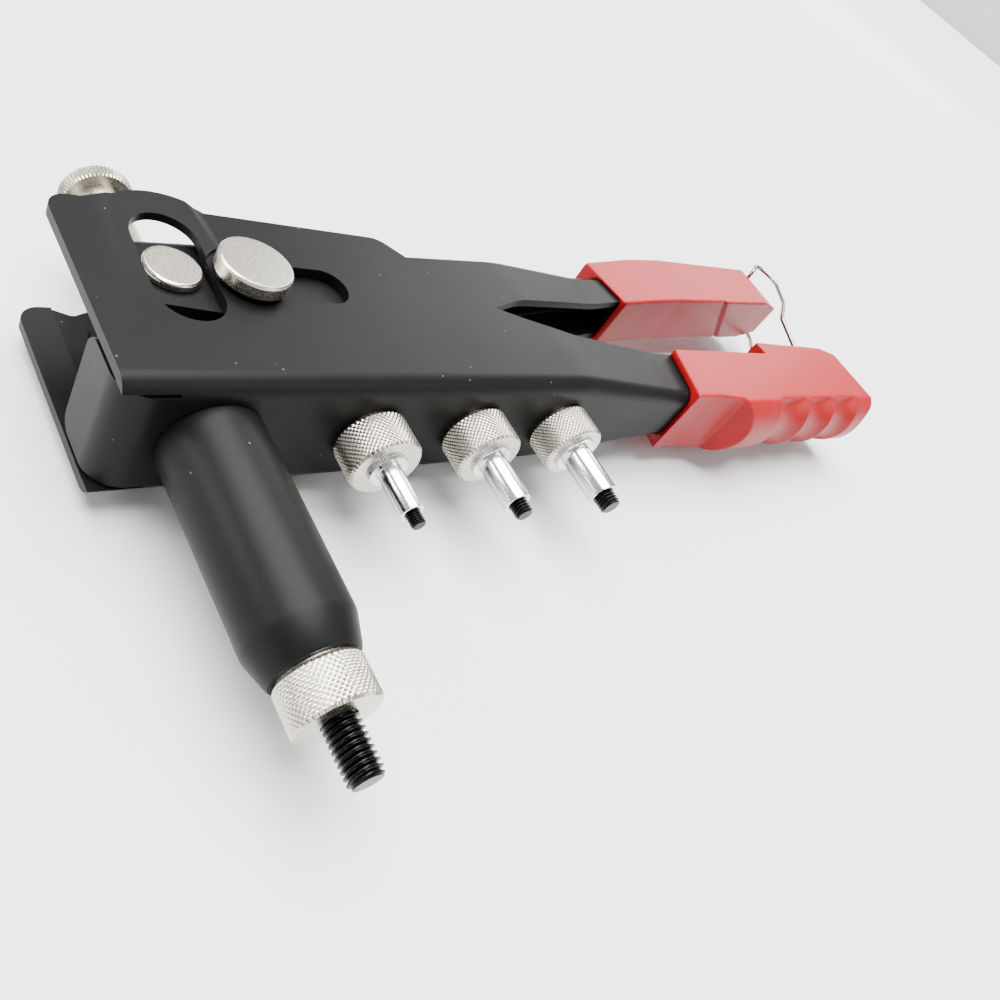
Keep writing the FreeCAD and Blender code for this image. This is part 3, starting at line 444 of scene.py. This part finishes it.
class SETTER_OT_steelwork(bpy.types.Operator):
    """Folded channels, barrel and pivots with rounded edges"""
    bl_idname = "setter.steelwork"
    bl_label = "Steelwork"

    def execute(self, context):
        sizes = context.scene.setter_sizes
        for node, name in (("body_channel", "folded_body"), ("lever_channel", "folded_lever")):
            stand_for(softened(node, name, sizes.steel_edge), node)
        low, high = (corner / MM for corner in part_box("nose_barrel"))
        outer, end = high.x, low.y
        socket = end + BARREL_SOCKET_FROM
        wall = [(BARREL_BORE, end), (BARREL_LIP - 0.3, end), (BARREL_LIP, end + 0.4),
                (outer - 0.12, BARREL_TAPER - 0.4), (outer, BARREL_TAPER + 0.4), (outer, -0.3),
                (outer - 0.3, 0), (BARREL_NECK, 0), (BARREL_NECK, WEB), (BARREL_FLANGE, WEB),
                (BARREL_FLANGE, high.y), (BARREL_SOCKET, high.y), (BARREL_SOCKET, socket),
                (BARREL_BORE, socket), (BARREL_BORE, end)]
        barrel = turned("turned_barrel", wall, 96)
        smooth(barrel)
        stand_for(barrel, "nose_barrel")
        for node, name in (("fulcrum_pin", "fulcrum_headed_pin"), ("trunnion_near", "trunnion_head_near"),
                           ("trunnion_far", "trunnion_head_far")):
            stand_for(softened(node, name, sizes.head_edge), node)
        return {"FINISHED"}


class SETTER_OT_small_parts(bpy.types.Operator):
    """Finishes for the washers, clip, block, wire and the parts inside the head"""
    bl_idname = "setter.small_parts"
    bl_label = "Small parts"

    def execute(self, context):
        for node in ("fulcrum_washer_near", "fulcrum_washer_far", "fulcrum_spacer", "fulcrum_clip",
                     "draw_block", "thrust_washer", "mandrel_coupler", "wire_bail"):
            paint(frame["nodes"][node], SLOT_OF[node])
        return {"FINISHED"}


class SETTER_OT_nose(bpy.types.Operator):
    """Threaded mandrel, knurled nose cap and knurled spin knob"""
    bl_idname = "setter.nose"
    bl_label = "Nose and knob"

    def execute(self, context):
        sizes = context.scene.setter_sizes
        low, high = (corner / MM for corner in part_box("mandrel_m6"))
        tip, end = low.y, high.y
        places = rows(tip, MANDREL_THREAD_END, MANDREL_PITCH / 12)
        profile = [(0, tip)] + [(MANDREL_THREAD, y) for y in places]
        profile += [(MANDREL_RELIEF, MANDREL_THREAD_END + CHAMFER), (MANDREL_RELIEF, MANDREL_HEAD_FROM),
                    (MANDREL_HEAD, MANDREL_HEAD_FROM), (MANDREL_HEAD, end), (0, end)]
        mandrel = turned("threaded_mandrel", profile, sizes.around)
        cut_thread(mandrel, 0, tip, MANDREL_THREAD_END, MANDREL_THREAD, MANDREL_PITCH, MANDREL_LEAD)
        smooth(mandrel, 40)
        stand_for(mandrel, "mandrel_m6")

        low, high = (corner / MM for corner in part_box("nose_cap"))
        front, radius = low.y, high.x
        rear = front + CAP_HEIGHT
        step = sizes.knurl_pitch / MM / 8
        seat = high.y - CAP_SPIGOT_LENGTH + CAP_STEP
        ring = [(CAP_BORE, front), (radius - CHAMFER, front)]
        ring += [(radius, y) for y in rows(front + CHAMFER, rear - CHAMFER, step)]
        ring += [(radius - CHAMFER, rear), (CAP_SEAT, rear), (CAP_SEAT, seat), (CAP_SPIGOT, seat),
                 (CAP_SPIGOT, high.y), (CAP_BORE, high.y), (CAP_BORE, front)]
        cap = turned("knurled_nose_cap", ring, CAP_RIDGES * FACES_A_RIDGE)
        knurl_diamonds(cap, 0, front + CHAMFER, rear - CHAMFER, radius, sizes)
        smooth(cap, 24)
        stand_for(cap, "nose_cap")

        low, high = (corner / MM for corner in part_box("spin_knob"))
        rim, top, edge = high.x, high.y, KNOB_DISC + CHAMFER
        knob = [(0, low.y), (KNOB_TANG, low.y), (KNOB_TANG, KNOB_COLLAR_FROM),
                (KNOB_COLLAR, KNOB_COLLAR_FROM), (KNOB_COLLAR, KNOB_COLLAR_TO),
                (KNOB_BOSS, KNOB_COLLAR_TO), (KNOB_BOSS, KNOB_DISC),
                (rim - CHAMFER, KNOB_DISC)]
        knob += [(rim, y) for y in rows(edge, top - CHAMFER, 0.25)]
        knob += [(rim - CHAMFER, top), (rim - 1.0, top), (rim - 1.5, top - KNOB_DISH), (0, top - KNOB_DISH)]
        piece = turned("knurled_spin_knob", knob, KNOB_RIDGES * FACES_A_RIDGE)
        reshape(piece, 0, edge, top - CHAMFER, rim,
                lambda angle, y: rim - KNOB_RIDGE * (1 - ridge(KNOB_RIDGES * angle)))
        smooth(piece, 24)
        stand_for(piece, "spin_knob")
        return {"FINISHED"}


class SETTER_OT_spares(bpy.types.Operator):
    """Three spare mandrels on the body, each with its knurled cap and rivet nut"""
    bl_idname = "setter.spares"
    bl_label = "Spare mandrels"

    def execute(self, context):
        sizes = context.scene.setter_sizes
        for size, (thread, pitch, sleeve, flange) in SPARES.items():
            low, high = (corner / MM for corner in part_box(f"spare_cap_{size}"))
            x, radius, front = (low.x + high.x) / 2, (high.x - low.x) / 2, low.y
            bore, rear = thread + SPARE_FIT, SPARE_CAP_REAR
            ring = [(bore, front), (radius - CHAMFER, front)]
            ring += [(radius, y) for y in rows(front + CHAMFER, rear - CHAMFER, sizes.knurl_pitch / MM / 8)]
            ring += [(radius - CHAMFER, rear), (SPARE_CAP_SEAT, rear), (SPARE_CAP_SEAT, SPARE_CAP_FACE),
                     (SPARE_CAP_SPIGOT, SPARE_CAP_FACE), (SPARE_CAP_SPIGOT, high.y),
                     (bore, high.y), (bore, front)]
            cap = turned(f"knurled_spare_cap_{size}", ring, SPARE_CAP_RIDGES * FACES_A_RIDGE, x)
            knurl_diamonds(cap, x, front + CHAMFER, rear - CHAMFER, radius, sizes)
            smooth(cap, 24)
            stand_for(cap, f"spare_cap_{size}")

            low, high = (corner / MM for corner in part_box(f"spare_mandrel_{size}"))
            thread_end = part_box(f"rivet_nut_{size}")[0].y / MM + 2 * pitch
            profile = [(0, low.y)] + [(thread, y) for y in rows(low.y, thread_end, pitch / 10)]
            profile += [(thread, SPARE_HEAD_FROM), (SPARE_HEAD, SPARE_HEAD_FROM),
                        (SPARE_HEAD, high.y), (0, high.y)]
            bolt = turned(f"threaded_spare_{size}", profile, sizes.around, x)
            cut_thread(bolt, x, low.y, thread_end, thread, pitch, 0.6 * pitch)
            smooth(bolt, 40)
            stand_for(bolt, f"spare_mandrel_{size}")

            low, high = (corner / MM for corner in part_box(f"rivet_nut_{size}"))
            back, mouth = high.y - FLANGE_THICKNESS, low.y + SLEEVE_EDGE
            first, last = back + FLANGE_EDGE, high.y - FLANGE_EDGE
            nut = [(bore, mouth), (bore + 0.3, low.y), (sleeve - 0.3, low.y), (sleeve - 0.08, low.y + 0.1),
                   (sleeve, mouth), (sleeve, back - 0.15), (sleeve + 0.15, back),
                   (flange - FLANGE_EDGE, back)]
            nut += [(flange, y) for y in rows(first, last, 0.33)]
            nut += [(flange - FLANGE_EDGE, high.y), (bore, high.y), (bore, mouth)]
            # four faces a ridge are enough on an edge this thin
            piece = turned(f"rivet_nut_turned_{size}", nut, FLANGE_RIDGES * 4, x)
            reshape(piece, x, first, last, flange,
                    lambda angle, y, rim=flange: rim - FLANGE_RIDGE * (1 - ridge(FLANGE_RIDGES * angle)))
            smooth(piece, 24)
            stand_for(piece, f"rivet_nut_{size}")
        return {"FINISHED"}


def cut_facet(piece, point, normal):
    """Slice a corner off and close it flat, keeping the side that the normal points away from."""
    pick(piece)
    bpy.ops.object.mode_set(mode="EDIT")
    bpy.ops.mesh.select_all(action="SELECT")
    bpy.ops.mesh.bisect(plane_co=[c * MM for c in point], plane_no=normal, use_fill=True, clear_outer=True)
    bpy.ops.object.mode_set(mode="OBJECT")


class SETTER_OT_grips(bpy.types.Operator):
    """Moulded vinyl grips with soft edges"""
    bl_idname = "setter.grips"
    bl_label = "Grips"

    def execute(self, context):
        sizes = context.scene.setter_sizes
        for node, name in (("body_grip", "finger_grip"), ("lever_grip", "palm_grip")):
            piece = softened(node, name, 0.4 * MM)
            if node == "lever_grip":
                # the lens shaped facets on both sides of the end
                for side in (1, -1):
                    point, lean = (v[:2] + (v[2] * side,) for v in (FACET_POINT, FACET_LEAN))
                    cut_facet(piece, point, lean)
            apply_modifier(piece, "REMESH", mode="VOXEL", voxel_size=sizes.vinyl_voxel)
            apply_modifier(piece, "SMOOTH", factor=0.5, iterations=2)
            if node == "lever_grip":
                # a slanting groove crosses the finger side, which stands 0.5 mm prouder behind it
                for vertex in piece.data.vertices:
                    x, y, z = (c / MM for c in vertex.co)
                    past = x - GROOVE_X - (GRIP_HALF - z) * GROOVE_SLANT
                    side_y = PALM_SIDE_Y + (x - PALM_SIDE_X) * PALM_SIDE_SLOPE + PALM_SIDE_BAND
                    if past > -GROOVE_WIDTH and y < side_y:
                        if past > 0:
                            vertex.co.y -= STEP_HEIGHT * MM * min(1.0, past / STEP_RAMP)
                        else:
                            vertex.co.y += GROOVE_DEPTH * MM * math.sin(-math.pi * past / GROOVE_WIDTH)
            smooth(piece, 60)
            stand_for(piece, node)
        return {"FINISHED"}


class SETTER_OT_stage(bpy.types.Operator):
    """Pale floor, soft lights and the camera"""
    bl_idname = "setter.stage"
    bl_label = "Stage"

    def execute(self, context):
        scene = context.scene
        bpy.ops.object.select_all(action="DESELECT")
        bpy.ops.mesh.primitive_plane_add(size=FLOOR_SIZE, location=(0.1, 0, cad_low.z - 0.5 * MM))
        floor = context.object
        floor.name = "studio_floor"
        # low walls all round close the view above the far edge
        bpy.ops.object.mode_set(mode="EDIT")
        bpy.ops.mesh.select_mode(type="EDGE")
        bpy.ops.mesh.select_all(action="SELECT")
        bpy.ops.mesh.extrude_edges_move(TRANSFORM_OT_translate={"value": (0, 0, WALL_HEIGHT)})
        bpy.ops.object.mode_set(mode="OBJECT")
        material, tree, _ = new_material("matte_backdrop")
        close_material(tree, add_node(tree, "ShaderNodeBsdfPrincipled", {
            "Base Color": rgba(scene.setter_colours.floor), "Roughness": 0.9}))
        floor.data.materials.append(material)

        world = bpy.data.worlds.new("soft_room")
        scene.world = world
        world.use_nodes = True
        world.node_tree.nodes.clear()
        sky = add_node(world.node_tree, "ShaderNodeBackground",
                       {"Color": rgba(linear("#FBFCFD")), "Strength": 0.62})
        add_node(world.node_tree, "ShaderNodeOutputWorld", {"Surface": sky.outputs[0]})

        bpy.ops.object.light_add(type="SUN", location=OVERHEAD_PLACE)
        overhead = context.object
        overhead.name = "overhead_light"
        overhead.data.energy = OVERHEAD_STRENGTH
        overhead.data.angle = OVERHEAD_SPREAD
        overhead.rotation_mode = "QUATERNION"
        overhead.rotation_quaternion = (LIGHT_TARGET - overhead.location).to_track_quat("-Z", "Y")
        for name, place, size, watts in SOFTBOXES:
            bpy.ops.object.light_add(type="AREA", location=place)
            light = context.object
            light.name = name
            light.data.size = size
            light.data.energy = watts
            light.rotation_mode = "QUATERNION"
            light.rotation_quaternion = (LIGHT_TARGET - light.location).to_track_quat("-Z", "Y")

        turn, shift = Vector(VIEW_TURN), Vector(VIEW_SHIFT)
        to_view = Quaternion(turn.normalized(), turn.length).to_matrix()
        bpy.ops.object.camera_add()
        camera = context.object
        camera.name = "main_camera"
        facing = to_view.transposed() @ Matrix.Diagonal((1, -1, -1))
        place = -(to_view.transposed() @ shift) * MM
        camera.matrix_world = Matrix.Translation(place) @ facing.to_4x4()
        camera.data.sensor_width = SENSOR
        camera.data.lens = LENS
        camera.data.clip_start = 5 * MM
        scene.camera = camera
        return {"FINISHED"}


class SETTER_PT_panel(bpy.types.Panel):
    bl_label = "Rivet nut setter"
    bl_idname = "SETTER_PT_panel"
    bl_space_type = "VIEW_3D"
    bl_region_type = "UI"
    bl_category = "Setter"

    def draw(self, context):
        for group in (context.scene.setter_sizes, context.scene.setter_colours):
            for name in group.__annotations__:
                self.layout.prop(group, name)
        for operator in OPERATORS:
            self.layout.operator(operator.bl_idname)


OPERATORS = (SETTER_OT_steelwork, SETTER_OT_small_parts, SETTER_OT_nose, SETTER_OT_spares,
             SETTER_OT_grips, SETTER_OT_stage)
CLASSES = (SetterSizes, SetterColours) + OPERATORS + (SETTER_PT_panel,)


def register():
    for item in CLASSES:
        bpy.utils.register_class(item)
    bpy.types.Scene.setter_sizes = PointerProperty(type=SetterSizes)
    bpy.types.Scene.setter_colours = PointerProperty(type=SetterColours)


def unregister():
    del bpy.types.Scene.setter_sizes
    del bpy.types.Scene.setter_colours
    for item in reversed(CLASSES):
        bpy.utils.unregister_class(item)


def main():
    register()
    bpy.ops.setter.steelwork()
    bpy.ops.setter.small_parts()
    bpy.ops.setter.nose()
    bpy.ops.setter.spares()
    bpy.ops.setter.grips()
    bpy.ops.setter.stage()


if __name__ == "__main__":
    main()
